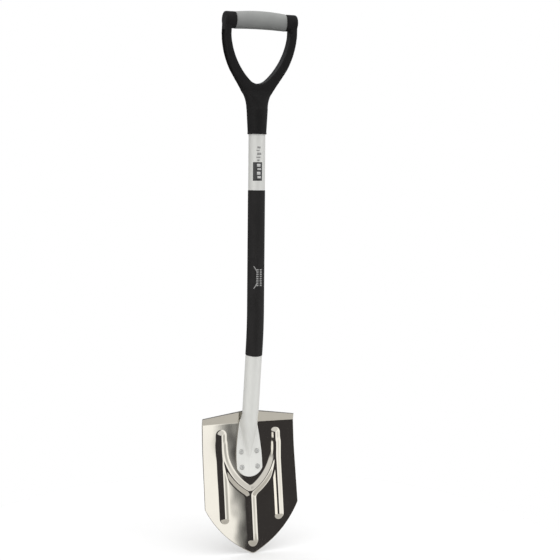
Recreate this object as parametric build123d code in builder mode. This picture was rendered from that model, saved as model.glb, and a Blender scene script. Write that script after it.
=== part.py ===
"""Light one-piece camp shovel: a pressed pointed blade riveted to a cranked
alloy tube, with a thin shaft sleeve and a moulded D-grip.

Millimetres. +Z runs up along the upper shaft, -Y is the working face of the
blade, X = 0 is the plane of symmetry and Z = 0 is the tip of the blade."""

import os
from math import cos, radians, sin, tan
from build123d import *

os.makedirs("parts", exist_ok=True)

# ---- shaft: a round tube, cranked once, its lower end pressed flat ----
shaft_y = -4.9
shaft_radius = 15.0
shaft_wall = 1.5
shaft_top = 820.0
crank_z = 418.0
crank_angle = 7.9
crank_radius = 500.0
press_start_z = 262.0
tongue_top = 240.0
tongue_bottom = 138.5
tongue_corner_z = 154.0
tongue_half_width = 24.8
tongue_neck_half_width = 16.0
tongue_straight_z = 176.0
tongue_waist = (21.0, 214.0)
# How far cutting tools and construction solids reach past what they cut.
cut_start_y = 60.0
cut_length = 120.0
bore_reach = 10.0
loft_margin = 6.0

# ---- blade: a dished sheet, straight sides, pointed tip, turned tread ----
blade_thickness = 1.5
blade_tilt = 5.6
blade_ref_z = 249.0
blade_ref_y = 35.0
blade_top_half_width = 89.8
blade_half_width = 91.2
shoulder_z = 86.5
side_middle = (56.3, 38.2)
tip_corner = (6.0, 2.0)
blade_corner_radius = 3.0
tread_z = 237.0
tread_corner_z = 249.5
tread_peak_z = 262.0
tread_lean = 16.5

# Height, then how far the sheet's front stands forward of the blade's
# reference plane on the centre line and at the side edges.
dish_stations = [
    (-6.0, 11.4, 16.2),
    (28.0, 9.2, 14.0),
    (60.0, 7.0, 11.6),
    (104.0, 4.2, 8.4),
    (150.0, 0.6, 4.2),
    (190.0, -2.0, 1.0),
    (tread_z, -2.0, 1.0),
]

# ---- pressed ribs: two uprights, two arms that meet, and a stem ----
rib_height = 3.0
rib_width = 17.6
rib_x = 53.0
rib_top = 225.0
rib_bottom = 58.0
arm_top = (53.0, 198.0)
arm_middle = (40.5, 150.0)
stem_top = 110.0
stem_bottom = 14.0

# ---- rivets ----
rivet_x = 15.3
rivet_heights = (184.0, 156.0)
rivet_shank_radius = 2.4
rivet_head_radius = 4.8
rivet_head_height = 2.2
rivet_head_taper = 30.0
rivet_back_share = 0.8
rivet_dimple_radius = 1.2
rivet_dimple_depth = 0.7
rivet_lean = 8.5
rivet_gap = 0.35
notch_gap = 1.0
notch_height = 40.0

# Height, half width and depth of the tube where it is pressed down to the tongue.
press_stations = [(237.0, 17.0, 25.4), (213.0, 12.6, 17.0), (189.0, 6.6, 8.6), (177.0, 3.2, 5.4)]

# ---- sleeve ----
sleeve_wall = 0.5
sleeve_top = 667.0
sleeve_bottom = 368.0

# ---- D-grip ----
grip_tilt = 6.5
grip_hinge_z = 850.0
grip_hinge_y = 1.5
arm_depth = 24.0
arm_edge_radius = 3.5
outline_radius = 3.0
bar_v = 115.5
bar_core_radius = 11.0
collar_radius = 14.8
grip_half_length = 47.7
arm_inner_x = 55.8
arm_top_half_width = 67.9
knuckle_edge_radius = 3.0
grip_end_radius = 15.0
grip_crown = 0.9
socket_bottom = 767.0
socket_rim_radius = 17.3
socket_rim_height = 2.5
socket_low_radius = 16.9
socket_high_radius = 19.2
channel_depth = 5.5
channel_width = 17.0
channel_start_x = 25.0
channel_top_v = 98.0
screw_z = 792.0
screw_shank_radius = 1.8
screw_head_radius = 3.8
screw_head_height = 2.0
screw_seat = 16.6
screw_tip = 11.0
screw_edge_radius = 0.9
screw_clearance = 0.2
recess_length = 3.6
recess_width = 0.8
recess_depth = 1.1
# Height, half width, half depth and corner radius where the socket opens into the arms.
neck_stations = [(812.0, 19.2, 19.2, 19.1), (826.0, 20.6, 17.0, 15.0), (840.0, 26.0, 12.6, 8.0)]


def plane_y(z):
    """Y of the blade's reference plane at height z."""
    return shaft_y + blade_ref_y + tan(radians(blade_tilt)) * (z - blade_ref_z)


def lower_axis_y(z):
    """Y of the cranked lower shaft's axis at height z."""
    return shaft_y + (crank_z - z) * tan(radians(crank_angle))


def blade_front_y(z):
    """Y of the sheet's front on the centre line, by straight runs between stations."""
    for low, high in zip(dish_stations, dish_stations[1:]):
        if z <= high[0]:
            share = (z - low[0]) / (high[0] - low[0])
            return plane_y(z) - (low[1] + share * (high[1] - low[1]))
    return plane_y(z) - dish_stations[-1][1]


def dished_section(z, front, back):
    """A curved strip at height z, from front to back of the sheet's front face."""
    half = blade_half_width + loft_margin
    station = next(s for s in dish_stations if s[0] == z)
    centre = plane_y(z) - station[1]
    edge = centre - (station[2] - station[1]) * (half / blade_half_width) ** 2
    with BuildSketch(Plane.XY.offset(z)) as section:
        with BuildLine():
            ThreePointArc((-half, edge + front), (0, centre + front), (half, edge + front))
            Line((half, edge + front), (half, edge + back))
            ThreePointArc((half, edge + back), (0, centre + back), (-half, edge + back))
            Line((-half, edge + back), (-half, edge + front))
        make_face()
    return section.sketch


def dished_slab(front, back):
    """The blade's curved form between two distances behind the sheet's front."""
    with BuildPart() as slab:
        loft([dished_section(station[0], front, back) for station in dish_stations])
    return slab.part


def front_view(y=cut_start_y):
    """A plane seen from the front: local x is +X, local y is +Z."""
    return Plane((0, y, 0), x_dir=(1, 0, 0), z_dir=(0, -1, 0))


def rib_pattern(width):
    """The ribs' outline in the front view, as strips of the given width."""
    with BuildSketch(front_view()) as pattern:
        with Locations((0, (stem_top + stem_bottom) / 2)):
            SlotOverall(stem_top - stem_bottom - rib_width + width, width, rotation=90)
        for side in (-1, 1):
            with Locations((side * rib_x, (rib_top + rib_bottom) / 2)):
                SlotOverall(rib_top - rib_bottom - rib_width + width, width, rotation=90)
            start = (side * arm_top[0], arm_top[1])
            middle = (side * arm_middle[0], arm_middle[1])
            arm = Edge.make_three_point_arc(start, middle, (0, stem_top))
            SlotArc(arm, width)
    return pattern.sketch


def blade_outline():
    """The sheet's outline in the front view."""
    with BuildSketch(front_view()) as outline:
        with BuildLine():
            ThreePointArc((blade_half_width, shoulder_z), side_middle, tip_corner)
            ThreePointArc(tip_corner, (0, 0), (-tip_corner[0], tip_corner[1]))
            Polyline(
                (blade_half_width, shoulder_z),
                (blade_top_half_width, tread_corner_z),
                (0, tread_peak_z),
                (-blade_top_half_width, tread_corner_z),
                (-blade_half_width, shoulder_z),
            )
            ThreePointArc(
                (-blade_half_width, shoulder_z),
                (-side_middle[0], side_middle[1]),
                (-tip_corner[0], tip_corner[1]),
            )
        make_face()
        by_side = outline.vertices().sort_by(Axis.X)
        fillet(by_side[:2] + by_side[-2:], radius=blade_corner_radius)
    return outline.sketch


def tread_section(rise):
    """The tread's curved strip at a height above the fold line."""
    half = blade_half_width + loft_margin
    front = plane_y(tread_z) - dish_stations[-1][1] + rise * tan(radians(blade_tilt - tread_lean))
    back = front + blade_thickness
    sag = (dish_stations[-1][2] - dish_stations[-1][1]) * (half / blade_half_width) ** 2
    with BuildSketch(Plane.XY.offset(tread_z + rise)) as section:
        with BuildLine():
            ThreePointArc((-half, front - sag), (0, front), (half, front - sag))
            Line((half, front - sag), (half, back - sag))
            ThreePointArc((half, back - sag), (0, back), (-half, back - sag))
            Line((-half, back - sag), (-half, front - sag))
        make_face()
    return section.sketch


def rivet_plane(x, z):
    """The plane of the sheet's front at a rivet, its normal pointing forward."""
    lean = radians(rivet_lean)
    return Plane((x, blade_front_y(z), z), x_dir=(1, 0, 0), z_dir=(0, -cos(lean), sin(lean)))


rivet_planes = [rivet_plane(x, z) for z in rivet_heights for x in (-rivet_x, rivet_x)]

with BuildPart() as outline_prism:
    extrude(blade_outline(), amount=cut_length)

with BuildPart() as ridges:
    extrude(rib_pattern(rib_width), amount=cut_length)
    add(dished_slab(-rib_height, blade_thickness), mode=Mode.INTERSECT)

with BuildPart() as grooves:
    extrude(rib_pattern(rib_width - 2 * blade_thickness), amount=cut_length)
    add(dished_slab(blade_thickness - rib_height, blade_thickness + 1), mode=Mode.INTERSECT)

# The tread is the sheet's top strip, turned forward from a straight fold line.
with BuildPart() as tread:
    loft([tread_section(0), tread_section(tread_peak_z + loft_margin - tread_z)])
    add(outline_prism.part, mode=Mode.INTERSECT)

with BuildPart() as blade:
    add(dished_slab(0, blade_thickness))
    add(outline_prism.part, mode=Mode.INTERSECT)
    add(ridges.part)
    add(grooves.part, mode=Mode.SUBTRACT)
    add(tread.part)
    # The tread is notched round the tube.
    with BuildSketch(Plane((0, lower_axis_y(tread_z), tread_z))):
        Circle(shaft_radius + notch_gap)
    extrude(amount=notch_height, mode=Mode.SUBTRACT)
    for plane in rivet_planes:
        with BuildSketch(plane.offset(-bore_reach)):
            Circle(rivet_shank_radius)
        extrude(amount=2 * bore_reach, mode=Mode.SUBTRACT)
blade.part.label = "blade"
export_step(blade.part, "parts/blade.step")

# ---- shaft ----
tangent_length = crank_radius * tan(radians(crank_angle / 2))
crank_down = Vector(0, sin(radians(crank_angle)), -cos(radians(crank_angle)))
crank_corner = Vector(0, shaft_y, crank_z)
straight_end = crank_corner + Vector(0, 0, tangent_length)
lower_start = crank_corner + crank_down * tangent_length
arc_middle = Vector(0, shaft_y + crank_radius, crank_z + tangent_length) - Vector(
    0, cos(radians(crank_angle / 2)), sin(radians(crank_angle / 2))
) * crank_radius


def lower_point(z):
    """The point of the lower shaft's axis at height z."""
    return Vector(0, lower_axis_y(z), z)


def shaft_path(top, bottom):
    """The shaft's axis from one height down to another, through the crank."""
    with BuildLine() as path:
        Line((0, shaft_y, top), straight_end)
        ThreePointArc(straight_end, arc_middle, lower_start)
        Line(lower_start, lower_point(bottom))
    return path.line


def round_bar(top, bottom, radius):
    """A round bar that follows the shaft's axis."""
    with BuildPart() as bar:
        with BuildSketch(Plane((0, shaft_y, top), x_dir=(1, 0, 0), z_dir=(0, 0, -1))):
            Circle(radius)
        sweep(path=shaft_path(top, bottom))
    return bar.part


def pressed_end(wall):
    """The tube's pressed end as a solid, reduced all round by a wall."""
    with BuildPart() as end:
        sections = []
        with BuildSketch(Plane(lower_point(press_start_z), x_dir=(1, 0, 0), z_dir=crank_down)) as first:
            Circle(shaft_radius - wall)
        sections.append(first.sketch)
        for z, half_width, depth in press_stations:
            centre = blade_front_y(z) - depth / 2
            with BuildSketch(Plane((0, centre, z), x_dir=(1, 0, 0), z_dir=(0, 0, -1))) as section:
                Ellipse(half_width - wall * 0.9, depth / 2 - wall * 0.9)
            sections.append(section.sketch)
        loft(sections)
    return end.part


with BuildPart() as tongue:
    with BuildSketch(front_view()):
        with BuildLine():
            Polyline(
                (tongue_half_width, tongue_corner_z),
                (tongue_half_width, tongue_straight_z),
                tongue_waist,
                (tongue_neck_half_width, tongue_top),
                (-tongue_neck_half_width, tongue_top),
                (-tongue_waist[0], tongue_waist[1]),
                (-tongue_half_width, tongue_straight_z),
                (-tongue_half_width, tongue_corner_z),
            )
            ThreePointArc(
                (-tongue_half_width, tongue_corner_z),
                (0, tongue_bottom),
                (tongue_half_width, tongue_corner_z),
            )
        make_face()
    extrude(amount=cut_length)
    add(dished_slab(-2 * shaft_wall, 0), mode=Mode.INTERSECT)

with BuildPart() as shaft:
    add(round_bar(shaft_top, press_start_z, shaft_radius))
    add(pressed_end(0))
    add(round_bar(shaft_top, press_start_z, shaft_radius - shaft_wall), mode=Mode.SUBTRACT)
    add(pressed_end(shaft_wall), mode=Mode.SUBTRACT)
    add(tongue.part)
    for plane in rivet_planes:
        with BuildSketch(plane.offset(-bore_reach)):
            Circle(rivet_shank_radius)
        extrude(amount=2 * bore_reach, mode=Mode.SUBTRACT)
    with BuildSketch(front_view(shaft_y + 2 * shaft_radius)):
        with Locations((0, screw_z)):
            Circle(screw_shank_radius)
    extrude(amount=2 * bore_reach, mode=Mode.SUBTRACT)
shaft.part.label = "shaft"
export_step(shaft.part, "parts/shaft.step")

with BuildPart() as blade_rivets:
    front_seat = 2 * shaft_wall + rivet_gap
    back_seat = -blade_thickness - rivet_gap
    for plane in rivet_planes:
        with BuildSketch(plane.offset(back_seat)):
            Circle(rivet_shank_radius)
        extrude(amount=front_seat - back_seat)
        with BuildSketch(plane.offset(front_seat)):
            Circle(rivet_head_radius)
        extrude(amount=rivet_head_height, taper=rivet_head_taper)
        with BuildSketch(plane.offset(back_seat)):
            Circle(rivet_head_radius)
        extrude(amount=-rivet_head_height * rivet_back_share, taper=rivet_head_taper)
        with BuildSketch(plane.offset(front_seat + rivet_head_height)):
            Circle(rivet_dimple_radius)
        extrude(amount=-rivet_dimple_depth, mode=Mode.SUBTRACT)
blade_rivets.part.label = "blade_rivets"
export_step(blade_rivets.part, "parts/blade_rivets.step")

with BuildPart() as shaft_sleeve:
    add(round_bar(sleeve_top, sleeve_bottom, shaft_radius + sleeve_wall))
    add(round_bar(sleeve_top, sleeve_bottom, shaft_radius), mode=Mode.SUBTRACT)
shaft_sleeve.part.label = "shaft_sleeve"
export_step(shaft_sleeve.part, "parts/shaft_sleeve.step")

# ---- D-grip ----
tilt = radians(grip_tilt)
grip_plane = Plane(
    (0, shaft_y + grip_hinge_y, grip_hinge_z), x_dir=(1, 0, 0), z_dir=(0, -cos(tilt), -sin(tilt))
)
bar_centre = grip_plane.from_local_coords(Vector(0, bar_v, 0))
bar_plane = Plane(bar_centre, x_dir=(0, 1, 0), z_dir=(1, 0, 0))


def frame_outline():
    """The outer outline of the Y-shaped frame, in the grip plane's own x and y."""
    with BuildSketch() as outline:
        with BuildLine():
            Line((0, -12), (25.2, -12))
            ThreePointArc((25.2, -12), (32.2, 0), (40, 12))
            Line((40, 12), (50, 28))
            ThreePointArc((50, 28), (63.2, 60), (68.3, 92))
            Polyline((68.3, 92), (arm_top_half_width, bar_v), (0, bar_v))
            mirror(about=Plane.YZ)
        make_face()
    return outline.sketch_local


def hand_opening():
    """The gap for the fingers, open at the top between the two arms."""
    with BuildSketch() as opening:
        with BuildLine():
            ThreePointArc((-15.5, 11.8), (0, 6.5), (15.5, 11.8))
            ThreePointArc((15.5, 11.8), (42.6, 46.7), (arm_inner_x, 90))
            Polyline((arm_inner_x, 90), (arm_inner_x, 140), (-arm_inner_x, 140), (-arm_inner_x, 90))
            ThreePointArc((-arm_inner_x, 90), (-42.6, 46.7), (-15.5, 11.8))
        make_face()
    return opening.sketch_local


with BuildPart() as arms:
    with BuildSketch(grip_plane) as arm_shape:
        add(frame_outline())
        add(hand_opening(), mode=Mode.SUBTRACT)
        fillet(arm_shape.vertices(), radius=outline_radius)
    extrude(amount=arm_depth / 2, both=True)
    rims = arms.faces().sort_by(Axis(grip_plane.origin, grip_plane.z_dir))
    fillet(rims[0].edges() + rims[-1].edges(), radius=arm_edge_radius)

# A shallow channel runs along the outer side of each arm and fades out at the neck.
with BuildPart() as channels:
    with BuildSketch(grip_plane):
        add(frame_outline())
        offset(frame_outline(), amount=-channel_depth, mode=Mode.SUBTRACT)
        Rectangle(2 * channel_start_x, 4 * cut_length, mode=Mode.SUBTRACT)
        with Locations((0, channel_top_v + cut_length)):
            Rectangle(2 * cut_length, 2 * cut_length, mode=Mode.SUBTRACT)
    extrude(amount=channel_width / 2, both=True)


def neck_section(z, half_width, half_depth, corner):
    """A rounded rectangle across the socket at height z."""
    share = max(0.0, (z - socket_bottom) / (grip_hinge_z - socket_bottom))
    with BuildSketch(Plane((0, shaft_y + grip_hinge_y * share, z))) as section:
        RectangleRounded(2 * half_width, 2 * half_depth, corner)
    return section.sketch


with BuildPart() as socket:
    with BuildSketch(Plane((0, shaft_y, socket_bottom))):
        Circle(socket_rim_radius)
    extrude(amount=socket_rim_height)
    with BuildSketch(Plane((0, shaft_y, socket_bottom + socket_rim_height))) as socket_low:
        Circle(socket_low_radius)
    with BuildSketch(Plane((0, shaft_y, neck_stations[0][0]))) as socket_high:
        Circle(socket_high_radius)
    loft([socket_low.sketch, socket_high.sketch])
    loft([neck_section(*station) for station in neck_stations])

# The arms end in round knuckles on the bar's axis.
with BuildPart() as knuckles:
    for side in (-1, 1):
        with BuildSketch(bar_plane.offset(side * grip_half_length)):
            Circle(collar_radius)
        extrude(amount=side * (arm_top_half_width - grip_half_length))
    ends = knuckles.faces().filter_by(Plane.YZ).sort_by(Axis.X)
    fillet(ends[0].edges() + ends[-1].edges(), radius=knuckle_edge_radius)

with BuildPart() as handle_frame:
    add(socket.part)
    add(arms.part)
    add(channels.part, mode=Mode.SUBTRACT)
    with BuildSketch(bar_plane):
        Circle(bar_core_radius)
    extrude(amount=arm_inner_x + 4, both=True)
    add(knuckles.part)
    with BuildSketch(Plane((0, shaft_y, socket_bottom))):
        Circle(shaft_radius)
    extrude(amount=shaft_top - socket_bottom, mode=Mode.SUBTRACT)
    with BuildSketch(front_view(shaft_y + 2 * shaft_radius)):
        with Locations((0, screw_z)):
            Circle(screw_shank_radius)
    extrude(amount=2 * bore_reach, mode=Mode.SUBTRACT)
    with BuildSketch(front_view(shaft_y + 2 * shaft_radius)):
        with Locations((0, screw_z)):
            Circle(screw_head_radius)
    extrude(amount=2 * shaft_radius - screw_seat, mode=Mode.SUBTRACT)
handle_frame.part.label = "handle_frame"
export_step(handle_frame.part, "parts/handle_frame.step")

with BuildPart() as hand_grip:
    with BuildSketch(Plane(bar_centre, x_dir=(1, 0, 0), z_dir=(0, -1, 0))):
        with BuildLine():
            Line((-grip_half_length, bar_core_radius), (-grip_half_length, grip_end_radius))
            ThreePointArc(
                (-grip_half_length, grip_end_radius),
                (0, grip_end_radius + grip_crown),
                (grip_half_length, grip_end_radius),
            )
            Line((grip_half_length, grip_end_radius), (grip_half_length, bar_core_radius))
            Line((grip_half_length, bar_core_radius), (-grip_half_length, bar_core_radius))
        make_face()
    revolve(axis=Axis(bar_centre, (1, 0, 0)))
hand_grip.part.label = "hand_grip"
export_step(hand_grip.part, "parts/hand_grip.step")

with BuildPart() as handle_screw:
    with BuildSketch(front_view(shaft_y + screw_seat + screw_head_height)):
        with Locations((0, screw_z)):
            Circle(screw_head_radius - screw_clearance)
    extrude(amount=screw_head_height)
    fillet(handle_screw.edges().sort_by(Axis.Y)[-1:], radius=screw_edge_radius)
    with BuildSketch(front_view(shaft_y + screw_seat)):
        with Locations((0, screw_z)):
            Circle(screw_shank_radius)
    extrude(amount=screw_seat - screw_tip)
    # Cross recess.
    with BuildSketch(front_view(shaft_y + screw_seat + screw_head_height)):
        with Locations((0, screw_z)):
            Rectangle(recess_length, recess_width)
            Rectangle(recess_width, recess_length)
    extrude(amount=recess_depth, mode=Mode.SUBTRACT)
handle_screw.part.label = "handle_screw"
export_step(handle_screw.part, "parts/handle_screw.step")
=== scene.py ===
"""Looks for the camp shovel: meshes, materials, stage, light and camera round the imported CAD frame.

Metres, in the CAD's own frame: +Z up the shaft, -Y the working face of the blade, X = 0 the plane
of symmetry, Z = 0 the tip. Sizes are written in millimetres times MM where that reads better."""

from math import cos, pi, radians, sin, sqrt, tan

import bmesh
import bpy
import numpy as np
from mathutils import Matrix, Vector


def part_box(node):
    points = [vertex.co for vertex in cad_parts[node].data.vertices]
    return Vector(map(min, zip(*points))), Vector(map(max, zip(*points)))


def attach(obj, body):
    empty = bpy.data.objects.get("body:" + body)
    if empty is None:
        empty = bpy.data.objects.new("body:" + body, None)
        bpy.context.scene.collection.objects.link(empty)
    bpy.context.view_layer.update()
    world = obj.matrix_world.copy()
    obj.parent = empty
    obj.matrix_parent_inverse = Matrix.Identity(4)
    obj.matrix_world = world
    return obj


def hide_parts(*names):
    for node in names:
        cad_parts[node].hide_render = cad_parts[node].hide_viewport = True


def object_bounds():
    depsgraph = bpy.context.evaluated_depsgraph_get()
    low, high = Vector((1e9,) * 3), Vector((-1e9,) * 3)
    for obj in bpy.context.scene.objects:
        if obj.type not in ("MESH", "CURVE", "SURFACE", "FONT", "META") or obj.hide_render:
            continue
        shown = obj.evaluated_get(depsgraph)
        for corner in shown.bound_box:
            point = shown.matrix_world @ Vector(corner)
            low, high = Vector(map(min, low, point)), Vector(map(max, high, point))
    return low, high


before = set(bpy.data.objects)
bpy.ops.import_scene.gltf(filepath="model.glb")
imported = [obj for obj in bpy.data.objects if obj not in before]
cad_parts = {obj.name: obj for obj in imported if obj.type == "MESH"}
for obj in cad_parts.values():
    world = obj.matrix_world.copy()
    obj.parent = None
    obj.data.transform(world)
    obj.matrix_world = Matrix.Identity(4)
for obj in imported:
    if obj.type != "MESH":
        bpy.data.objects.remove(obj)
cad_low, cad_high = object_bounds()

MM = 0.001
BODY = "root"

# ---- places read from the frame ----
sleeve_low, sleeve_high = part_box("shaft_sleeve")
shaft_low, shaft_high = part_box("shaft")
_, blade_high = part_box("blade")
grip_low, grip_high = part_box("hand_grip")
frame_low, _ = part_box("handle_frame")

SLEEVE_RADIUS = sleeve_high.x
SLEEVE_WALL = 0.5 * MM
SHAFT_RADIUS = SLEEVE_RADIUS - SLEEVE_WALL
SHAFT_Y = sleeve_low.y + SLEEVE_RADIUS
SHAFT_TOP = shaft_high.z
BLADE_HALF_WIDTH = blade_high.x

# ---- shaft: straight, one crank, then a straight run down to the pressed tongue ----
CRANK_Z = 418 * MM
CRANK_ANGLE = radians(7.9)
CRANK_RADIUS = 500 * MM
CRANK_TANGENT = CRANK_RADIUS * tan(CRANK_ANGLE / 2)
CRANK_TOP = CRANK_Z + CRANK_TANGENT
CRANK_BOTTOM = CRANK_Z - CRANK_TANGENT * cos(CRANK_ANGLE)
RING_POINTS = 128
STRAIGHT_ROWS = 40
CRANK_ROWS = 26
LOWER_RUN_ROWS = 16
LOWER_RUN_END = 4 * MM

# The pressed end: where the round tube stops, and how far down it takes to settle on the blade.
PRESS_START_Z = 262 * MM
PRESS_SETTLE = 26 * MM
TONGUE_BOTTOM = shaft_low.z
TONGUE_CORNER_Z = 154 * MM
TONGUE_HALF_WIDTH = shaft_high.x
TONGUE_THICKNESS = 3 * MM
TONGUE_DROP = TONGUE_CORNER_Z - TONGUE_BOTTOM
TONGUE_ARC = (TONGUE_HALF_WIDTH**2 + TONGUE_DROP**2) / (2 * TONGUE_DROP)
TONGUE_SEAT_GAP = 0.05 * MM
TONGUE_RIM_POWER = 10
PRESS_ROW_HEIGHT = 1.5 * MM
TONGUE_END_ROWS = 16

# Height, then the half width of the flat plate.
PRESS_Z = np.array([154, 176, 214, 240, 262]) * MM
PRESS_WIDTH = np.array([24.8, 24.8, 21.0, 17.0, 15.0]) * MM

# Height, then the half width and the depth of the round bulge that fades into the plate.
BULGE_Z = np.array([171, 177, 189, 213, 237, 262]) * MM
BULGE_HALF = np.array([0.6, 3.2, 6.6, 12.6, 16.6, 15.0]) * MM
BULGE_DEPTH = np.array([2.9, 5.2, 8.6, 17.0, 25.4, 30.0]) * MM
BULGE_FILLET = 1.6 * MM
LEAST_FILLET = 0.01 * MM

# ---- sleeve ----
SLEEVE_BOTTOM = 368 * MM
SLEEVE_OVERLAP = 0.1 * MM
SLEEVE_END_STEPS = 4
SLEEVE_END_INSET = 2 * MM
SLEEVE_ROWS = 90

# ---- blade ----
BLADE_THICKNESS = 1.5 * MM
BLADE_TILT = radians(5.6)
BLADE_REF_Z = 249 * MM
BLADE_REF_Y = SHAFT_Y + 35 * MM
BLADE_TOP_HALF_WIDTH = BLADE_HALF_WIDTH - 1.4 * MM
SHOULDER_Z = 86.5 * MM
TREAD_Z = 237 * MM
TREAD_CORNER_Z = 249.5 * MM
TREAD_PEAK_Z = 262 * MM
TREAD_LEAN = radians(16.5)
FOLD_SOFTNESS = 1.6 * MM
NOTCH_HALF_WIDTH = 12 * MM
BLADE_COLUMNS = 150
LOWER_ROWS = 165
TREAD_ROWS = 14
# How far down from the tread's top edge the polished front is painted dark, as shade along the edge.
TOP_EDGE_SHADE_BAND = 1 * MM
SHEET_CORNER = 0.28 * MM
SHEET_CORNER_ANGLE = radians(50)

# The lower edge: a rounded tip, then an arc through these points to the shoulder.
TIP_HALF_WIDTH = 6 * MM
TIP_RISE = 2 * MM
EDGE_MIDDLE = (56.3 * MM, 38.2 * MM)
EDGE_POINTS = 200

# Height, then how far the sheet stands forward of its reference plane on the
# centre line and at the side edges.
DISH_Z = np.array([-6, 28, 60, 104, 150, 190, 237]) * MM
DISH_CENTRE = np.array([11.4, 9.2, 7.0, 4.2, 0.6, -2.0, -2.0]) * MM
DISH_EDGE = DISH_CENTRE + np.array([4.8, 4.8, 4.6, 4.2, 3.6, 3.0, 3.0]) * MM

RIB_HEIGHT = 3.0 * MM
RIB_HALF_WIDTH = 8.8 * MM
RIB_CREST_HALF_WIDTH = 1.3 * MM
CROTCH_REACH = 5 * MM
ARM_POINTS = 40
RIB_X = 53 * MM
RIB_TOP = 225 * MM
RIB_BOTTOM = 58 * MM
STEM_TOP = 110 * MM
STEM_BOTTOM = 14 * MM
ARM_START = (53 * MM, 198 * MM)
ARM_MIDDLE = (40.5 * MM, 150 * MM)

RIVET_X = 15.3 * MM
RIVET_HEIGHTS = (184 * MM, 156 * MM)
RIVET_LEAN = radians(8.5)
RIVET_SHANK = 2.4 * MM
RIVET_SINK = 0.2 * MM
RIVET_POINTS = 40

# Radius, then height in mm: over the tongue from the dimple out to the rim, then over the
# sheet's back from the rim in to the middle.
RIVET_FRONT = [
    (0.05, 1.4), (0.75, 1.45), (1.15, 1.9), (1.6, 2.15), (2.6, 2.0), (3.5, 1.55), (4.2, 0.95),
    (4.6, 0.35), (4.75, -0.1),
]
RIVET_BACK = [(4.6, 0.1), (4.7, -0.25), (4.2, -0.85), (3.2, -1.3), (1.8, -1.55), (0.05, -1.6)]

# ---- D-grip ----
HANDLE_VOXEL = 1.0 * MM
SOCKET_RIM = 3 * MM
EDGE_ROUNDS = 3
SOCKET_RIM_SHARE = 0.3
NECK_Z = 845 * MM
NECK_REACH = 38 * MM
NECK_ROUNDS = 40

GRIP_SETBACK = 1.2 * MM
GRIP_FLATTEN = 0.86
GRIP_ARCH = 2.2 * MM
GRIP_CROWN = 0.9 * MM
GRIP_EDGE = 0.8 * MM
GRIP_CORE = 11 * MM
GRIP_END_STEPS = 4
GRIP_STRAIGHT_SHARE = 0.96
GRIP_ROWS = 49
GRIP_POINTS = 96

# ---- printed marks: heights in mm, angles in degrees from the front ----
PRINT_LIFT = 0.02 * MM
PRINT_THICKNESS = 0.05 * MM
PRINT_ROW_HEIGHT = 3 * MM
PRINT_COLUMN_TURN = radians(3)
PANEL_CENTRE = -14
PANEL_HALF_TURN = 33
PANEL_HEIGHTS = (684, 717)

# Low and high edge, then left and right edge from the panel's centre.
PANEL_BARS = [(688, 692, -2, 24), (694, 700, -5, 20), (703, 706, -2, 24), (708.5, 714, -5, 20)]
DASHES = [
    (719, 722, -4, 13), (724.5, 727, -9, 19), (730, 734, -4, 25), (737, 739, -9, 13),
    (741.5, 745, -4, 19),
]

SLEEVE_MARK_CENTRE = -4
SLEEVE_MARK_Z = 495
SLEEVE_MARK_STEP = 4
SLEEVE_MARK_ROWS = 8
SLEEVE_MARK_HEIGHT = 2.6
SLEEVE_MARK_TURN = 15
SLEEVE_MARK_SPACE = 12
SLEEVE_MARK_SHIFT = 6

# Low edge, slant, then left and right edge from the sleeve mark's centre.
STROKES = [(490, 20, -34, -27), (522, -20, -14, -7)]
STROKE_HEIGHT = 9

# ---- stage ----
FLOOR_RADIUS = 0.6
FLOOR_DROP = 0.3 * MM
FLOOR_POINTS = 96

# The even light: brightness from the sides, from above and from below, then the shares from
# in front and from behind.
SOFT_LIGHT = 1.15
TOP_LIGHT = 1.75
UNDER_LIGHT = 0.12
FRONT_SHARE = 1.2
BACK_SHARE = 0.75

# What shiny surfaces see: azimuth in degrees, 0 straight in front of the blade, then a colour.
CREAM = (1.99, 2.02, 2.08)
BEIGE = (0.98, 1.0, 1.02)
DARK = (0.074, 0.07, 0.075)
GREY = (0.63, 0.65, 0.67)
OVERHEAD = (1.35, 1.37, 1.42)
WALLS = [
    (-180, 0.12), (-110, 0.2), (-85, 1.8), (-24.8, 2.2), (-23.8, DARK), (21.5, DARK),
    (22.0, GREY), (22.6, GREY), (23.0, CREAM), (57, CREAM), (64, BEIGE), (125, 0.6), (180, 0.12),
]

# The share of OVERHEAD seen in place of the walls, by the direction's height from 0 straight
# down to 1 straight up.
OVERHEAD_SHARE = [(0.0, 0.0), (0.59, 0.0), (0.65, 1.0), (0.8, 1.0), (0.84, 0.15), (1.0, 0.15)]

CAMERA_PLACE = (-0.7721, -2.0270, 0.6837)
CAMERA_YAW = radians(22.06)
CAMERA_PITCH = radians(4.71)
CAMERA_ROLL = radians(0.57)
CAMERA_LENS = 77.14
CAMERA_SENSOR = 36


# ---- small helpers ----
def material(name):
    """A new material, its node tree and its principled shader."""
    made = bpy.data.materials.new(name)
    made.use_nodes = True
    tree = made.node_tree
    tree.nodes.clear()
    shader = tree.nodes.new("ShaderNodeBsdfPrincipled")
    output = tree.nodes.new("ShaderNodeOutputMaterial")
    tree.links.new(shader.outputs[0], output.inputs[0])
    return made, tree, shader


def node(tree, kind, inputs=None, **settings):
    """A node with its settings, and its inputs either set or linked."""
    made = tree.nodes.new(kind)
    for key, value in settings.items():
        setattr(made, key, value)
    for key, value in (inputs or {}).items():
        if isinstance(value, bpy.types.NodeSocket):
            tree.links.new(value, made.inputs[key])
        else:
            made.inputs[key].default_value = value
    return made


def surface_point(tree, stretch=(1, 1, 1)):
    """The point on the object in metres, stretched along each axis."""
    place = node(tree, "ShaderNodeTexCoord")
    inputs = {0: place.outputs["Object"], "Scale": stretch}
    return node(tree, "ShaderNodeMapping", inputs).outputs[0]


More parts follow.
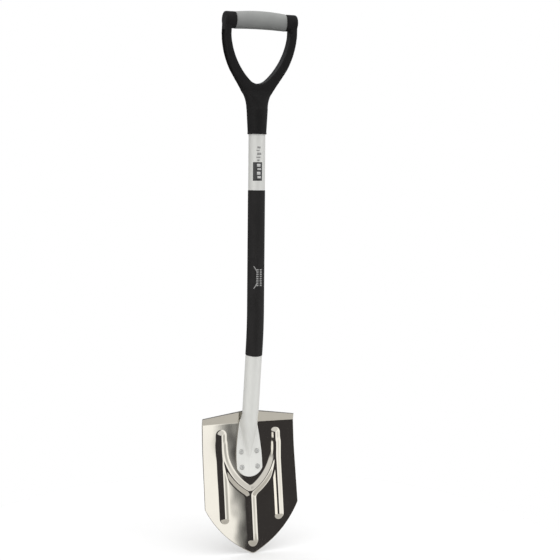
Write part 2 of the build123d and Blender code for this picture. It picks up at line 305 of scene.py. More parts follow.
def noise(tree, scale, detail=3.0, roughness=0.55, stretch=(1, 1, 1)):
    """Noise with a scale in features per metre."""
    inputs = {"Scale": scale, "Detail": detail, "Roughness": roughness}
    inputs[0] = surface_point(tree, stretch)
    return node(tree, "ShaderNodeTexNoise", inputs).outputs[0]


def mapped(tree, value, start, end, low, high):
    """A value carried from one range to another."""
    inputs = {0: value, 1: start, 2: end, 3: low, 4: high}
    return node(tree, "ShaderNodeMapRange", inputs).outputs[0]


def spread(tree, value, low, high, start=0.3, end=0.7):
    """Maps a texture's usual range to low .. high."""
    return mapped(tree, value, start, end, low, high)


def tint(tree, value, dark, light):
    """A colour between dark and light by a 0 .. 1 value."""
    ramp = node(tree, "ShaderNodeValToRGB", {0: value})
    ramp.color_ramp.elements[0].color = (*dark, 1)
    ramp.color_ramp.elements[1].color = (*light, 1)
    return ramp.outputs[0]


def bump(tree, shader, height, distance, strength=1.0, under=None):
    """Adds a bump of a real distance in metres, over another one if given."""
    inputs = {"Height": height, "Distance": distance, "Strength": strength}
    if under is not None:
        inputs["Normal"] = under
    made = node(tree, "ShaderNodeBump", inputs)
    tree.links.new(made.outputs[0], shader.inputs["Normal"])
    return made.outputs[0]


def mesh_piece(name, points, faces, finish, replaced=None):
    """A mesh object that rides on the body, in the place of a CAD node if one is named."""
    data = bpy.data.meshes.new(name)
    data.from_pydata([tuple(p) for p in points], [], faces)
    data.validate()
    data.update()
    data.polygons.foreach_set("use_smooth", [True] * len(data.polygons))
    data.materials.append(finish)
    piece = bpy.data.objects.new(name, data)
    bpy.context.collection.objects.link(piece)
    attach(piece, BODY)
    if replaced:
        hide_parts(replaced)
    return piece


def loop_faces(rings, points, cap_start=True, cap_end=True):
    """Quads between closed rings of equal size, with a face on each open end."""
    faces = []
    for r in range(rings - 1):
        for p in range(points):
            q = (p + 1) % points
            here, there = r * points, (r + 1) * points
            faces.append((here + p, here + q, there + q, there + p))
    if cap_start:
        faces.append(tuple(reversed(range(points))))
    if cap_end:
        faces.append(tuple(range((rings - 1) * points, rings * points)))
    return faces


def modifier(piece, kind, **settings):
    """A modifier with its settings."""
    made = piece.modifiers.new(kind.title(), kind)
    for key, value in settings.items():
        setattr(made, key, value)
    return made


def eased(share, ease=0.14):
    """A ramp from 0 to 1 with rounded ends, for numbers or arrays."""
    share = np.asarray(share, float)
    low = (np.clip(share, -ease, ease) + ease) ** 2 / (4 * ease)
    top = (np.clip(1 - share, -ease, ease) + ease) ** 2 / (4 * ease)
    return np.where(share < ease, low, np.where(share > 1 - ease, 1 - top, share))


def soft_min(a, b, reach):
    """The smaller of two arrays, with a fillet of the given reach."""
    h = np.clip(0.5 + 0.5 * (b - a) / reach, 0, 1)
    return b * (1 - h) + a * h - reach * h * (1 - h)


def smooth_curve(stations, values, at):
    """A smooth curve through stations, by cubic Hermite runs with finite-difference slopes."""
    at = np.clip(at, stations[0], stations[-1])
    slopes = np.gradient(values, stations)
    i = np.clip(np.searchsorted(stations, at) - 1, 0, len(stations) - 2)
    span = stations[i + 1] - stations[i]
    t = (at - stations[i]) / span
    a = (2 * t**3 - 3 * t**2 + 1) * values[i] + (t**3 - 2 * t**2 + t) * span * slopes[i]
    return a + (3 * t**2 - 2 * t**3) * values[i + 1] + (t**3 - t**2) * span * slopes[i + 1]


# ---- materials ----
def polished_steel():
    """Mirror-bright stainless sheet with a faint wave and vertical grain."""
    made, tree, shader = material("polished_steel")
    shader.inputs["Metallic"].default_value = 1.0
    tone = spread(tree, noise(tree, 14, 4), 0.0, 1.0)
    colour = tint(tree, tone, (0.432, 0.406, 0.353), (0.466, 0.44, 0.382))
    tree.links.new(colour, shader.inputs["Base Color"])
    grain = noise(tree, 900, 2, 0.6, stretch=(1, 1, 0.06))
    wipe = noise(tree, 60, 4, 0.6)
    both = node(tree, "ShaderNodeMath", {0: grain, 1: wipe}, operation="MULTIPLY")
    tree.links.new(spread(tree, both.outputs[0], 0.03, 0.06, 0.1, 0.45), shader.inputs["Roughness"])
    wave = bump(tree, shader, noise(tree, 22, 1, 0.4), 0.00035)
    bump(tree, shader, grain, 0.000004, under=wave)
    return made


def cut_edge_and_painted_shade():
    """The dull cut edge of the sheet, and a thin band of its front along the tread's top, in a much
    darker steel: partly the cut edge's own duller tone, partly painted shade along the edge.
    """
    made, tree, shader = material("cut_edge_and_painted_shade")
    shader.inputs["Metallic"].default_value = 1.0
    tone = spread(tree, noise(tree, 200, 3), 0.0, 1.0)
    # Painted shade: these tones darken the edge well beyond the cut steel's own colour, to give a
    # dark line along the tread's top.
    colour = tint(tree, tone, (0.1, 0.096, 0.09), (0.2, 0.19, 0.18))
    tree.links.new(colour, shader.inputs["Base Color"])
    tree.links.new(spread(tree, noise(tree, 500, 3), 0.3, 0.5), shader.inputs["Roughness"])
    bump(tree, shader, noise(tree, 1500, 2), 0.00002)
    return made


def satin_alloy():
    """Pale alloy tube, drawn lengthways."""
    made, tree, shader = material("satin_alloy")
    shader.inputs["Metallic"].default_value = 0.1
    shader.inputs["Specular IOR Level"].default_value = 0.35
    tone = spread(tree, noise(tree, 40, 4, 0.6, stretch=(1, 1, 0.15)), 0.0, 1.0)
    colour = tint(tree, tone, (0.58, 0.58, 0.553), (0.64, 0.64, 0.613))
    tree.links.new(colour, shader.inputs["Base Color"])
    drawn = noise(tree, 2600, 3, 0.6, stretch=(1, 1, 0.02))
    tree.links.new(spread(tree, drawn, 0.4, 0.52), shader.inputs["Roughness"])
    fine = noise(tree, 3500, 2, 0.6)
    first = bump(tree, shader, drawn, 0.000012)
    bump(tree, shader, fine, 0.00001, under=first)
    return made


def rivet_metal():
    """The rivets' greyer alloy."""
    made, tree, shader = material("rivet_metal")
    shader.inputs["Metallic"].default_value = 0.7
    tone = spread(tree, noise(tree, 500, 4, 0.6), 0.0, 1.0)
    colour = tint(tree, tone, (0.3, 0.3, 0.285), (0.5, 0.5, 0.48))
    tree.links.new(colour, shader.inputs["Base Color"])
    tree.links.new(spread(tree, noise(tree, 900, 3), 0.28, 0.42), shader.inputs["Roughness"])
    bump(tree, shader, noise(tree, 2200, 3), 0.00001)
    return made


def sleeve_skin():
    """The black skin of the sleeve."""
    made, tree, shader = material("sleeve_skin")
    shader.inputs["Specular IOR Level"].default_value = 0.13
    tone = spread(tree, noise(tree, 90, 4, 0.6, stretch=(1, 1, 0.3)), 0.0, 1.0)
    colour = tint(tree, tone, (0.0105, 0.0098, 0.0096), (0.0155, 0.0146, 0.0142))
    tree.links.new(colour, shader.inputs["Base Color"])
    tree.links.new(spread(tree, noise(tree, 240, 3), 0.55, 0.68), shader.inputs["Roughness"])
    bump(tree, shader, noise(tree, 1400, 3, 0.65), 0.00003)
    return made


def moulded_plastic():
    """Black plastic with a fine pitted texture."""
    made, tree, shader = material("moulded_plastic")
    shader.inputs["Specular IOR Level"].default_value = 0.14
    tone = spread(tree, noise(tree, 60, 4, 0.6), 0.0, 1.0)
    colour = tint(tree, tone, (0.0042, 0.0039, 0.0038), (0.0068, 0.0063, 0.0061))
    tree.links.new(colour, shader.inputs["Base Color"])
    tree.links.new(spread(tree, noise(tree, 300, 3), 0.56, 0.7), shader.inputs["Roughness"])
    grid = {0: surface_point(tree), "Scale": 1500}
    pits = node(tree, "ShaderNodeTexVoronoi", grid, feature="SMOOTH_F1")
    first = bump(tree, shader, pits.outputs[0], 0.00004)
    bump(tree, shader, noise(tree, 700, 3, 0.6), 0.00003, under=first)
    return made


def grey_rubber():
    """The grip's matt grey overmould."""
    made, tree, shader = material("grey_rubber")
    shader.inputs["Specular IOR Level"].default_value = 0.25
    tone = spread(tree, noise(tree, 45, 4, 0.6), 0.0, 1.0)
    colour = tint(tree, tone, (0.24, 0.245, 0.238), (0.268, 0.273, 0.265))
    tree.links.new(colour, shader.inputs["Base Color"])
    tree.links.new(spread(tree, noise(tree, 200, 3), 0.6, 0.74), shader.inputs["Roughness"])
    bump(tree, shader, noise(tree, 1800, 3, 0.65), 0.00004)
    return made


def zinc_plate():
    """The screw's plating."""
    made, tree, shader = material("zinc_plate")
    shader.inputs["Metallic"].default_value = 1.0
    tone = spread(tree, noise(tree, 300, 3), 0.0, 1.0)
    colour = tint(tree, tone, (0.4, 0.41, 0.42), (0.55, 0.55, 0.54))
    tree.links.new(colour, shader.inputs["Base Color"])
    tree.links.new(spread(tree, noise(tree, 900, 3), 0.25, 0.42), shader.inputs["Roughness"])
    bump(tree, shader, noise(tree, 2500, 2), 0.00001)
    return made


def printed_ink(name, dark, light):
    """A thin, slightly uneven layer of ink."""
    made, tree, shader = material(name)
    tone = spread(tree, noise(tree, 600, 4, 0.7), 0.0, 1.0)
    tree.links.new(tint(tree, tone, dark, light), shader.inputs["Base Color"])
    tree.links.new(spread(tree, noise(tree, 400, 3), 0.4, 0.55), shader.inputs["Roughness"])
    bump(tree, shader, noise(tree, 3000, 2), 0.000006)
    return made


steel = polished_steel()
# The darkened edge material: the cut edge's duller tone plus painted shade along the tread's top.
cut_edge_shade = cut_edge_and_painted_shade()
alloy = satin_alloy()
rivet_finish = rivet_metal()
sleeve_finish = sleeve_skin()
plastic = moulded_plastic()
rubber = grey_rubber()
zinc = zinc_plate()
black_ink = printed_ink("black_ink", (0.009, 0.009, 0.009), (0.016, 0.016, 0.016))
silver_ink = printed_ink("silver_ink", (0.42, 0.42, 0.41), (0.55, 0.55, 0.54))
grey_ink = printed_ink("grey_ink", (0.2, 0.2, 0.195), (0.3, 0.3, 0.29))


# ---- blade surface ----
def dish_y(x, z):
    """Y of the sheet's front without its ribs and tread."""
    plane = BLADE_REF_Y + tan(BLADE_TILT) * (z - BLADE_REF_Z)
    centre = smooth_curve(DISH_Z, DISH_CENTRE, z)
    edge = smooth_curve(DISH_Z, DISH_EDGE, z)
    return plane - centre - (edge - centre) * (x / BLADE_HALF_WIDTH) ** 2


def arc_points(start, middle, end, count):
    """Points on the arc through three points."""
    (ax, ay), (bx, by), (cx, cy) = start, middle, end
    d = 2 * (ax * (by - cy) + bx * (cy - ay) + cx * (ay - by))
    a, b, c = ax**2 + ay**2, bx**2 + by**2, cx**2 + cy**2
    ux = (a * (by - cy) + b * (cy - ay) + c * (ay - by)) / d
    uy = (a * (cx - bx) + b * (ax - cx) + c * (bx - ax)) / d
    first, mid, last = [np.arctan2(y - uy, x - ux) for x, y in (start, middle, end)]
    turns = np.unwrap([first, mid, last])
    angles = np.linspace(turns[0], turns[2], count)
    radius = np.hypot(ax - ux, ay - uy)
    return np.stack([ux + radius * np.cos(angles), uy + radius * np.sin(angles)], 1)


def line_distance(x, z, line):
    """Distance in the front view from each point to a run of straight pieces."""
    best = np.full(x.shape, 1e9)
    for (ax, az), (bx, bz) in zip(line, line[1:]):
        dx, dz = bx - ax, bz - az
        share = np.clip(((x - ax) * dx + (z - az) * dz) / (dx * dx + dz * dz), 0, 1)
        best = np.minimum(best, np.hypot(x - ax - share * dx, z - az - share * dz))
    return best


def rib_rise(x, z):
    """How far the ribs stand forward of the sheet."""
    end = RIB_HALF_WIDTH
    distance = line_distance(x, z, [(0, STEM_BOTTOM + end), (0, STEM_TOP)])
    for side in (-1, 1):
        upright = [(side * RIB_X, RIB_BOTTOM + end), (side * RIB_X, RIB_TOP - end)]
        start = (side * ARM_START[0], ARM_START[1])
        middle = (side * ARM_MIDDLE[0], ARM_MIDDLE[1])
        arm = arc_points(start, middle, (0, STEM_TOP), ARM_POINTS)
        near = soft_min(line_distance(x, z, upright), line_distance(x, z, arm), CROTCH_REACH)
        distance = soft_min(distance, near, CROTCH_REACH)
    return RIB_HEIGHT * eased((end - distance) / (end - RIB_CREST_HALF_WIDTH))


def blade_y(x, z):
    """Y of the whole front of the sheet: dish, ribs and the tread turned forward."""
    below = np.minimum(z, TREAD_Z)
    over = z - TREAD_Z
    turn = tan(BLADE_TILT - TREAD_LEAN)
    rise = np.where(over > 0, over, 0)
    soft = np.maximum(FOLD_SOFTNESS - np.abs(over), 0) ** 2 / (4 * FOLD_SOFTNESS)
    bend = (rise + soft) * turn - soft * tan(BLADE_TILT)
    return dish_y(x, below) - rib_rise(x, z) + bend


def blade_bottom(x):
    """Height of the blade's lower edge at each x."""
    start = (TIP_HALF_WIDTH, TIP_RISE)
    side = arc_points(start, EDGE_MIDDLE, (BLADE_HALF_WIDTH, SHOULDER_Z), EDGE_POINTS)
    out = np.abs(x)
    tip = TIP_RISE * (out / TIP_HALF_WIDTH) ** 2
    return np.where(out < TIP_HALF_WIDTH, tip, np.interp(out, side[:, 0], side[:, 1]))


def blade_top(x):
    """Height of the tread's upper edge at each x, before the sheet narrows."""
    fall = (TREAD_PEAK_Z - TREAD_CORNER_Z) * np.abs(x) / BLADE_TOP_HALF_WIDTH
    return TREAD_PEAK_Z - fall


def blade_grid():
    """The front of the sheet as rows of points, and the columns beside the tread's notch."""
    across = np.linspace(-BLADE_HALF_WIDTH, BLADE_HALF_WIDTH, BLADE_COLUMNS + 1)
    right = int(np.argmin(np.abs(across - NOTCH_HALF_WIDTH)))
    left = BLADE_COLUMNS - right
    across[right] = NOTCH_HALF_WIDTH
    across[left] = -NOTCH_HALF_WIDTH
    bottom = blade_bottom(across)
    top = np.maximum(blade_top(across), TREAD_CORNER_Z)
    lower = bottom + (TREAD_Z - bottom) * np.linspace(0, 1, LOWER_ROWS)[:, None]
    upper = TREAD_Z + (top - TREAD_Z) * np.linspace(0, 1, TREAD_ROWS + 1)[1:, None]
    z = np.concatenate([lower, upper])
    narrowing = np.clip((z - SHOULDER_Z) / (TREAD_CORNER_Z - SHOULDER_Z), 0, 1)
    slim = 1 - (1 - BLADE_TOP_HALF_WIDTH / BLADE_HALF_WIDTH) * narrowing
    x = across[None, :] * slim
    return np.stack([x, blade_y(x, z), z], -1), left, right


def make_blade():
    """The pressed sheet as a fine grid that follows its outline, then given its thickness."""
    grid, left, right = blade_grid()
    rows, width = grid.shape[:2]
    faces = []
    for r in range(rows - 1):
        for c in range(width - 1):
            if r >= LOWER_ROWS and left <= c < right:
                continue
            i = r * width + c
            faces.append((i, i + 1, i + width + 1, i + width))
    piece = mesh_piece("blade_sheet", grid.reshape(-1, 3), faces, steel, "blade")
    clean_loose(piece)
    piece.data.materials.append(cut_edge_shade)
    # Faces in a thin band along the tread's top edge take the dark edge material: a painted shade
    # line on the polished front. The solidified rims take it as the cut edge.
    for face in piece.data.polygons:
        face.material_index = int(blade_top(face.center.x) - face.center.z < TOP_EDGE_SHADE_BAND)
    modifier(piece, "SOLIDIFY", thickness=BLADE_THICKNESS, offset=-1, material_offset_rim=1)
    corner = {"limit_method": "ANGLE", "angle_limit": SHEET_CORNER_ANGLE}
    modifier(piece, "BEVEL", width=SHEET_CORNER, segments=2, **corner)
    modifier(piece, "WEIGHTED_NORMAL", keep_sharp=False, weight=100)
    return piece


def clean_loose(piece):
    """Drops points that no face uses."""
    shape = bmesh.new()
    shape.from_mesh(piece.data)
    bmesh.ops.delete(shape, geom=[v for v in shape.verts if not v.link_faces], context="VERTS")
    shape.to_mesh(piece.data)
    shape.free()


# ---- shaft ----
def shaft_at(z):
    """Y of the shaft's axis at height z, and how far it leans there."""
    if z >= CRANK_TOP:
        return SHAFT_Y, 0.0
    if z <= CRANK_BOTTOM:
        return SHAFT_Y + (CRANK_Z - z) * tan(CRANK_ANGLE), CRANK_ANGLE
    lean = np.arcsin((CRANK_TOP - z) / CRANK_RADIUS)
    return SHAFT_Y + CRANK_RADIUS * (1 - cos(lean)), lean


def shaft_ring(z, radius):
    """A ring square to the shaft's axis."""
    y, lean = shaft_at(z)
    angles = np.linspace(0, 2 * pi, RING_POINTS, endpoint=False)
    depth = -radius * np.cos(angles)
    across = radius * np.sin(angles)
    return np.stack([across, y + depth * cos(lean), z + depth * sin(lean)], 1)


def tongue_end_height(x, width, row):
    """Heights across the tongue's round end; row runs from 0 at its corners to 1 at its edge."""
    drop = 1 - np.sqrt(np.maximum(TONGUE_ARC**2 - x**2, 0)) / TONGUE_ARC
    full = 1 - sqrt(TONGUE_ARC**2 - width**2) / TONGUE_ARC
    edge = TONGUE_BOTTOM + TONGUE_DROP * drop / full
    return TONGUE_CORNER_Z - row * (TONGUE_CORNER_Z - edge)


def pressed_ring(z, row=0.0):
    """A level section of the tube's pressed end; row is above 0 in the tongue's round end."""
    angles = np.linspace(0, 2 * pi, RING_POINTS, endpoint=False)
    across, front = np.sin(angles), np.cos(angles) > -1e-9
    width = float(smooth_curve(PRESS_Z, PRESS_WIDTH, z))
    x = width * across
    height = tongue_end_height(x, width, row) if row > 0 else np.full(RING_POINTS, z)
    seat = dish_y(x, height) - TONGUE_SEAT_GAP
    share = float(np.clip((PRESS_START_Z - z) / PRESS_SETTLE, 0, 1))
    share = share * share * (3 - 2 * share)
    axis, lean = shaft_at(z)
    middle = axis + (seat - TONGUE_THICKNESS / 2 - axis) * share
    power = TONGUE_RIM_POWER
    rim = np.clip(1 - np.abs(across) ** power - row**power, 0, 1) ** (1 / power)
    plate_half = TONGUE_THICKNESS / 2 * rim
    bulge_at = max(z, BULGE_Z[0])
    bulge_half = float(smooth_curve(BULGE_Z, BULGE_HALF, bulge_at))
    bulge_depth = float(smooth_curve(BULGE_Z, BULGE_DEPTH, bulge_at))
    bulge = np.sqrt(np.clip(1 - (x / bulge_half) ** 2, 0, 1))
    tube = SHAFT_RADIUS / cos(lean) * np.sqrt(np.clip(1 - (x / SHAFT_RADIUS) ** 2, 0, 1))
    # In front the round bulge stands out of the flat plate; behind, the plate lies on the sheet.
    bulge_front = (seat - bulge_depth * bulge) * share + (axis - tube) * (1 - share)
    front_y = soft_min(middle - plate_half, bulge_front, BULGE_FILLET * share + LEAST_FILLET)
    back_y = (middle + plate_half) * share + (axis + tube) * (1 - share)
    return np.stack([x, np.where(front, front_y, back_y), height], 1)


def make_shaft():
    """The alloy tube: round down to the press, then opened out into the flat tongue."""
    straight = list(np.linspace(SHAFT_TOP, CRANK_TOP, STRAIGHT_ROWS))
    crank = list(np.linspace(CRANK_TOP, CRANK_BOTTOM, CRANK_ROWS))[1:]
    lower_end = PRESS_START_Z + LOWER_RUN_END
    lower = list(np.linspace(CRANK_BOTTOM, lower_end, LOWER_RUN_ROWS))[1:]
    rings = [shaft_ring(z, SHAFT_RADIUS) for z in straight + crank + lower]
    rings += [pressed_ring(z) for z in np.arange(PRESS_START_Z, TONGUE_CORNER_Z, -PRESS_ROW_HEIGHT)]
    for row in range(TONGUE_END_ROWS + 1):
        rings.append(pressed_ring(TONGUE_CORNER_Z, sin(pi / 2 * row / TONGUE_END_ROWS)))
    faces = loop_faces(len(rings), RING_POINTS)
    return mesh_piece("shaft_tube", np.concatenate(rings), faces, alloy, "shaft")


def make_sleeve():
    """The thin black sleeve, with rounded ends that stand just proud of the tube."""
    top, bottom = sleeve_high.z, SLEEVE_BOTTOM
    inner, wall = SHAFT_RADIUS - SLEEVE_OVERLAP, SLEEVE_WALL + SLEEVE_OVERLAP
    turns = [pi / 2 * step / SLEEVE_END_STEPS for step in range(SLEEVE_END_STEPS + 1)]
    ends = [(SLEEVE_WALL * (1 - cos(t)), inner + wall * sin(t)) for t in turns]
    rings = [shaft_ring(top - inset, radius) for inset, radius in ends]
    for z in np.linspace(top - SLEEVE_END_INSET, bottom + SLEEVE_END_INSET, SLEEVE_ROWS):
        rings.append(shaft_ring(z, SLEEVE_RADIUS))
    rings += [shaft_ring(bottom + inset, radius) for inset, radius in reversed(ends)]
    faces = loop_faces(len(rings), RING_POINTS, False, False)
    points = np.concatenate(rings)
    return mesh_piece(
        "shaft_sleeve_skin", points, faces, sleeve_finish, "shaft_sleeve"
    )


# ---- rivets ----
def rivet_matrix(x, z):
    """Places a rivet: local z points forward out of the sheet."""
    out = Vector((0, -cos(RIVET_LEAN), sin(RIVET_LEAN)))
    side = Vector((1, 0, 0))
    up = out.cross(side)
    y = float(dish_y(np.array([x]), np.array([z]))[0])
    turn = Matrix((side, up, out)).transposed().to_4x4()
    return Matrix.Translation((x, y, z)) @ turn


def make_rivet(name, x, z):
    """A snap head with a small centre dimple in front, and a flatter head behind."""
    front, back = TONGUE_THICKNESS, -BLADE_THICKNESS
    rings = [(r * MM, front + h * MM) for r, h in RIVET_FRONT]
    rings += [(RIVET_SHANK, front - RIVET_SINK), (RIVET_SHANK, back + RIVET_SINK)]
    rings += [(r * MM, back + h * MM) for r, h in RIVET_BACK]
    angles = np.linspace(0, 2 * pi, RIVET_POINTS, endpoint=False)
    place = rivet_matrix(x, z)
    points = [place @ Vector((r * cos(a), r * sin(a), h)) for r, h in rings for a in angles]
    faces = [tuple(reversed(f)) for f in loop_faces(len(rings), RIVET_POINTS)]
    return mesh_piece(name, points, faces, rivet_finish, "blade_rivets")


# ---- D-grip ----
def relax(piece, name, weight_at, rounds):
    """Smooths a piece, more or less by height."""
    group = piece.vertex_groups.new(name=name)
    for point in piece.data.vertices:
        group.add([point.index], weight_at(point.co.z), "REPLACE")
    modifier(piece, "SMOOTH", factor=0.5, iterations=rounds, vertex_group=name)


def make_handle():
    """The moulded frame: the CAD form remeshed and relaxed, so that its limbs flow together."""
    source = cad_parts["handle_frame"]
    data = source.data.copy()
    data.name = "handle_moulding"
    piece = bpy.data.objects.new("handle_moulding", data)
    bpy.context.collection.objects.link(piece)
    modifier(piece, "REMESH", mode="VOXEL", voxel_size=HANDLE_VOXEL, use_smooth_shade=True)
    graph = bpy.context.evaluated_depsgraph_get()
    piece.data = bpy.data.meshes.new_from_object(piece.evaluated_get(graph))
    piece.modifiers.clear()
    piece.data.materials.clear()
    piece.data.materials.append(plastic)
    rim_top = frame_low.z + SOCKET_RIM
    relax(piece, "edges", lambda z: 1.0 if z > rim_top else SOCKET_RIM_SHARE, EDGE_ROUNDS)
    relax(piece, "neck", lambda z: max(0.0, 1 - abs(z - NECK_Z) / NECK_REACH), NECK_ROUNDS)
    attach(piece, BODY)
    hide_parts("handle_frame")
    return piece


def make_grip():
    """The soft grey grip: a slightly barrelled sleeve with rounded ends."""
    half = grip_high.x
    centre = (grip_low + grip_high) / 2
    widest = (grip_high.z - grip_low.z) / 2
    turns = [pi / 2 * step / GRIP_END_STEPS for step in range(GRIP_END_STEPS + 1)]
    end = [(half, GRIP_CORE)]
    for t in turns:
        radius = widest - GRIP_CROWN - GRIP_EDGE * (1 - sin(t))
        end.append((half - GRIP_EDGE * (1 - cos(t)), radius))
    rings = [(-x, radius) for x, radius in end]
    for share in np.linspace(-GRIP_STRAIGHT_SHARE, GRIP_STRAIGHT_SHARE, GRIP_ROWS):
        rings.append((share * half, widest - GRIP_CROWN * share**2))
    rings += reversed(end)
    points = []
    for x, radius in rings:
        lift = GRIP_ARCH * (1 - (x / half) ** 2)
        for a in np.linspace(0, 2 * pi, GRIP_POINTS, endpoint=False):
            y = centre.y + GRIP_SETBACK + GRIP_FLATTEN * radius * cos(a)
            points.append((x, y, centre.z + radius * sin(a) + lift))
    faces = loop_faces(len(rings), GRIP_POINTS)
    return mesh_piece("hand_grip_sleeve", points, faces, rubber, "hand_grip")


# ---- printed marks, all generic ----
def patch_layer(low, high, left, right, slant, rows, columns, reach):
    """The points of one side of a patch, row by row."""
    points = []
    for r in range(rows + 1):
        z = low + (high - low) * r / rows
        for c in range(columns + 1):
            a = left + (right - left) * c / columns + slant * r / rows
            points.append((reach * sin(a), SHAFT_Y - reach * cos(a), z))
    return points


def printed_patch(name, heights, turns, radius, finish, slot, slant=0.0):
    """A thin curved patch on the straight upper shaft.

    It lies between two heights in mm and two angles in degrees from the front."""
    low, high = (z * MM for z in heights)
    left, right = (radians(turn) for turn in turns)
    rows = max(2, int((high - low) / PRINT_ROW_HEIGHT))
    columns = max(3, int(abs(right - left) / PRINT_COLUMN_TURN))
    points = []
    for lift in (PRINT_LIFT, PRINT_LIFT + PRINT_THICKNESS):
        edges = (low, high, left, right, radians(slant))
        points += patch_layer(*edges, rows, columns, radius + lift)
    layer = (rows + 1) * (columns + 1)
    w = columns + 1
    faces = []
    for r in range(rows):
        for c in range(columns):
            i = layer + r * w + c
            faces.append((i, i + 1, i + w + 1, i + w))
            j = i - layer
            faces.append((j, j + w, j + w + 1, j + 1))
    border = list(range(w)) + [r * w + columns for r in range(1, rows + 1)]
    border += [rows * w + c for c in range(columns - 1, -1, -1)]
    border += [r * w for r in range(rows - 1, 0, -1)]
    for a, b in zip(border, border[1:] + border[:1]):
        faces.append((a, b, b + layer, a + layer))
    return mesh_piece(name, points, faces, finish)


def make_marks():
    """A black panel with light bars on the tube, and a pale mark on the sleeve."""
    middle = PANEL_CENTRE
    turns = (middle - PANEL_HALF_TURN, middle + PANEL_HALF_TURN)
    printed_patch("mark_panel", PANEL_HEIGHTS, turns, SHAFT_RADIUS, black_ink, "alloy_tube")
    over = SHAFT_RADIUS + PRINT_LIFT + PRINT_THICKNESS
    for i, (low, high, left, right) in enumerate(PANEL_BARS):
        name, turns = f"mark_panel_bar_{i}", (middle + left, middle + right)
        printed_patch(name, (low, high), turns, over, silver_ink, "alloy_tube")
    for i, (low, high, left, right) in enumerate(DASHES):
        name, turns = f"mark_dash_{i}", (middle + left, middle + right)
        printed_patch(name, (low, high), turns, SHAFT_RADIUS, grey_ink, "alloy_tube")
    middle = SLEEVE_MARK_CENTRE
    skin = (SLEEVE_RADIUS, grey_ink, "sleeve_rubber")
    for i in range(SLEEVE_MARK_ROWS):
        low = SLEEVE_MARK_Z + SLEEVE_MARK_STEP * i
        for side in (-1, 1):
            start = middle + SLEEVE_MARK_SPACE * side + SLEEVE_MARK_SHIFT
            turns = (start - SLEEVE_MARK_TURN / 2, start + SLEEVE_MARK_TURN / 2)
            name = f"mark_sleeve_{i}_{side + 1}"
            printed_patch(name, (low, low + SLEEVE_MARK_HEIGHT), turns, *skin)
    for i, (low, slant, left, right) in enumerate(STROKES):
        heights, turns = (low, low + STROKE_HEIGHT), (middle + left, middle + right)
        printed_patch(f"mark_stroke_{i}", heights, turns, *skin, slant=slant)


# ---- stage, light and camera ----
def make_floor():
    """A plain pale floor."""
    made, tree, shader = material("floor_paint")
    tone = spread(tree, noise(tree, 6, 3), 0.0, 1.0)
    colour = tint(tree, tone, (0.71, 0.71, 0.71), (0.73, 0.73, 0.73))
    tree.links.new(colour, shader.inputs["Base Color"])
    shader.inputs["Roughness"].default_value = 0.9
    shader.inputs["Specular IOR Level"].default_value = 0.0
    points, faces = [(0, 0, 0)], []
    for i in range(FLOOR_POINTS):
        turn = 2 * pi * i / FLOOR_POINTS
        points.append((FLOOR_RADIUS * sin(turn), FLOOR_RADIUS * cos(turn), 0))
        faces.append((0, 1 + (i + 1) % FLOOR_POINTS, 1 + i))
    data = bpy.data.meshes.new("floor")
    data.from_pydata(points, [], faces)
    data.materials.append(made)
    floor = bpy.data.objects.new("floor", data)
    bpy.context.collection.objects.link(floor)
    floor.location.z = cad_low.z - FLOOR_DROP


def ramp_node(tree, value, stops):
    """A colour ramp from (position, grey or colour) stops, in order."""
    made = node(tree, "ShaderNodeValToRGB", {0: value})
    ramp = made.color_ramp
    while len(ramp.elements) < len(stops):
        ramp.elements.new(0.5)
    for element, (position, colour) in zip(ramp.elements, stops):
        element.position = position
        rgb = colour if isinstance(colour, tuple) else (colour,) * 3
        element.color = (*rgb, 1)
    return made.outputs[0]


def studio_walls(tree, parts):
    """What a level direction sees, by its azimuth."""
    forward = node(tree, "ShaderNodeMath", {0: parts[1], 1: -1.0}, operation="MULTIPLY")
    sides = {0: parts[0], 1: forward.outputs[0]}
    turn = node(tree, "ShaderNodeMath", sides, operation="ARCTAN2").outputs[0]
    stops = [((degrees + 180) / 360, colour) for degrees, colour in WALLS]
    return ramp_node(tree, mapped(tree, turn, -pi, pi, 0.0, 1.0), stops)


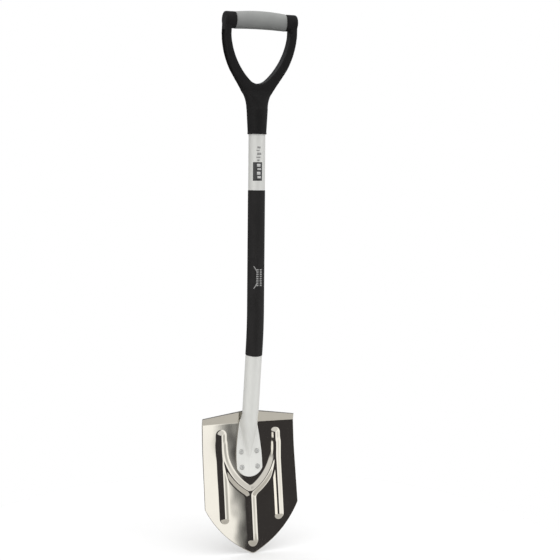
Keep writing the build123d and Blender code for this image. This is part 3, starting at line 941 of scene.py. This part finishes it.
def make_studio():
    """A soft white studio. The mirror-bright blade sees bright walls in it, and a dark gap."""
    world = bpy.data.worlds.new("studio")
    bpy.context.scene.world = world
    world.use_nodes = True
    tree = world.node_tree
    tree.nodes.clear()
    direction = node(tree, "ShaderNodeTexCoord").outputs["Generated"]
    parts = node(tree, "ShaderNodeSeparateXYZ", {0: direction}).outputs
    level = mapped(tree, parts[2], -1.0, 1.0, 0.0, 1.0)
    share, walls = ramp_node(tree, level, OVERHEAD_SHARE), studio_walls(tree, parts)
    layers = {0: share, 6: walls, 7: (*OVERHEAD, 1)}
    seen = node(tree, "ShaderNodeMix", layers, data_type="RGBA")
    dome = ramp_node(tree, level, [
        (0.0, UNDER_LIGHT), (0.36, UNDER_LIGHT), (0.48, SOFT_LIGHT), (0.6, SOFT_LIGHT),
        (1.0, TOP_LIGHT),
    ])
    facing = mapped(tree, parts[1], -1.0, 1.0, FRONT_SHARE, BACK_SHARE)
    soft = node(tree, "ShaderNodeVectorMath", {0: dome, "Scale": facing}, operation="SCALE")
    path = node(tree, "ShaderNodeLightPath").outputs
    layers = {0: path["Is Glossy Ray"], 6: soft.outputs[0], 7: seen.outputs[2]}
    lit = node(tree, "ShaderNodeMix", layers, data_type="RGBA")
    layers = {0: path["Is Camera Ray"], 6: lit.outputs[2], 7: (1, 1, 1, 1)}
    shown = node(tree, "ShaderNodeMix", layers, data_type="RGBA")
    light = node(tree, "ShaderNodeBackground", {0: shown.outputs[2]})
    node(tree, "ShaderNodeOutputWorld", {0: light.outputs[0]})


def make_camera():
    """The camera, a little to the left of the blade's front and slightly above it."""
    data = bpy.data.cameras.new("camera")
    data.sensor_width = CAMERA_SENSOR
    data.lens = CAMERA_LENS
    camera = bpy.data.objects.new("camera", data)
    bpy.context.collection.objects.link(camera)
    level = cos(CAMERA_PITCH)
    ahead = Vector((sin(CAMERA_YAW) * level, cos(CAMERA_YAW) * level, -sin(CAMERA_PITCH)))
    right = Vector((cos(CAMERA_YAW), -sin(CAMERA_YAW), 0))
    up = right.cross(ahead)
    side = right * cos(CAMERA_ROLL) + up * sin(CAMERA_ROLL)
    top = up * cos(CAMERA_ROLL) - right * sin(CAMERA_ROLL)
    turned = Matrix((side, top, -ahead)).transposed().to_4x4()
    camera.matrix_world = Matrix.Translation(CAMERA_PLACE) @ turned
    bpy.context.scene.camera = camera


make_blade()
make_shaft()
make_sleeve()
for row, z in enumerate(RIVET_HEIGHTS):
    for column, x in enumerate((-RIVET_X, RIVET_X)):
        make_rivet(f"rivet_{row}_{column}", x, z)
make_handle()
make_grip()
make_marks()
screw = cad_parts["handle_screw"]
screw.data.materials.clear()
screw.data.materials.append(zinc)
make_floor()
make_studio()
make_camera()
bpy.context.scene.view_settings.view_transform = "Standard"

bpy.context.view_layer.update()
